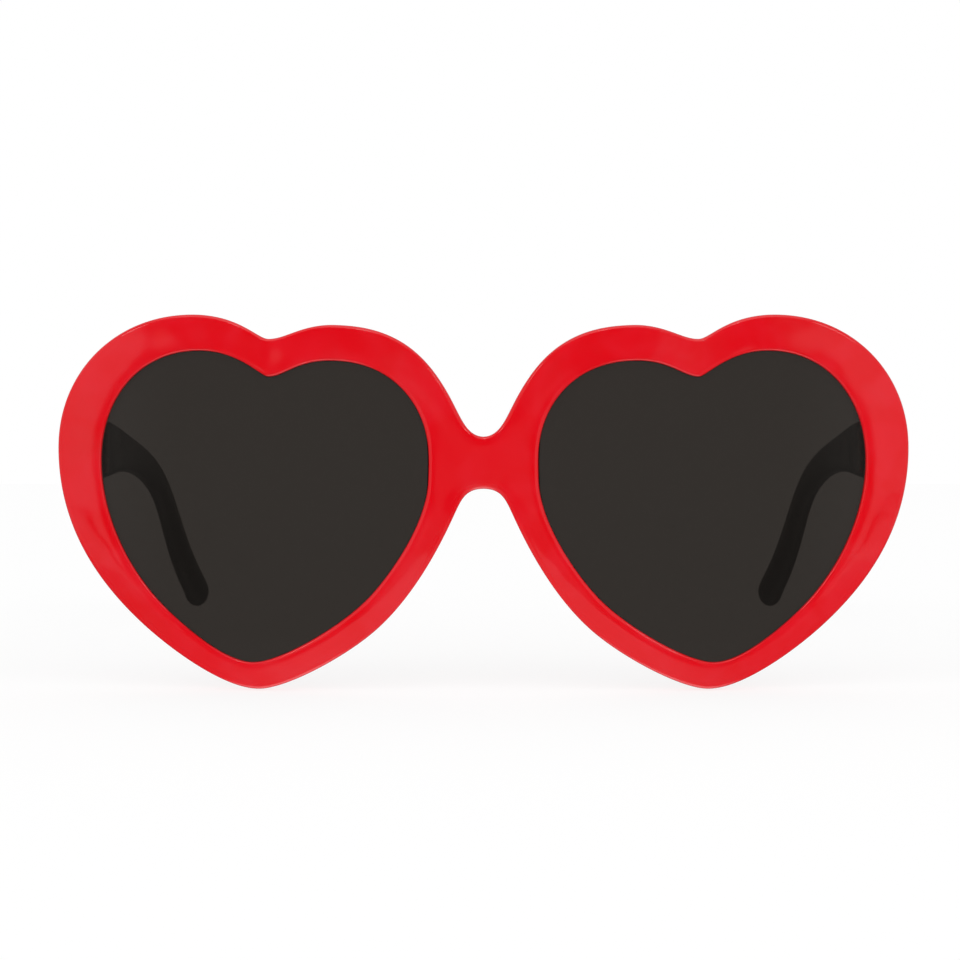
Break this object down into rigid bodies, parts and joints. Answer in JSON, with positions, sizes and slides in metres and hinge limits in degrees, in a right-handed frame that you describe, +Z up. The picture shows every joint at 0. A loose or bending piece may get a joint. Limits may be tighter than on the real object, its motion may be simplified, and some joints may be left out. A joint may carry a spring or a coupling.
{
  "type": "sunglasses",
  "caption": "Heart-shaped sunglasses with a bowed plastic front, tinted lenses held in grooves, moulded nose pads, and folding temples with ear hooks on small screw hinges.",
  "frame": {"origin": "centre of the footprint, on the surface that the open sunglasses lie on", "axes": "+Z up, the front faces -Y, the temples run back along +Y, +X is the wearer's left"},
  "size_m": [0.1508, 0.1442, 0.0658],
  "materials": {
    "frame_red": "glossy, slightly translucent red plastic",
    "lens_tint": "dark neutral tinted see-through plastic",
    "temple_black": "glossy black plastic",
    "hinge_metal": "nickel plated steel",
    "screw_metal": "bright steel"
  },
  "bodies": {
    "front": {"front_frame": "frame_red", "lens_left": "lens_tint", "lens_right": "lens_tint", "front_leaf_left": "hinge_metal", "front_leaf_right": "hinge_metal", "hinge_screw_left": "screw_metal", "hinge_screw_right": "screw_metal", "front_leaf_screws_left": "screw_metal", "front_leaf_screws_right": "screw_metal"},
    "left_arm": {"temple_left": "temple_black", "temple_leaf_left": "hinge_metal", "temple_leaf_screws_left": "screw_metal"},
    "right_arm": {"temple_right": "temple_black", "temple_leaf_right": "hinge_metal", "temple_leaf_screws_right": "screw_metal"}
  },
  "joints": [
    {"name": "left_fold", "type": "hinge", "parent": "front", "child": "left_arm", "pos_m": [0.06847, -0.05391, 0.04122], "axis": [0, 0.0732, 0.9973], "range_deg": [0, 88]},
    {"name": "right_fold", "type": "hinge", "parent": "front", "child": "right_arm", "pos_m": [-0.06847, -0.05391, 0.04122], "axis": [0, -0.0732, -0.9973], "range_deg": [0, 82]}
  ]
}
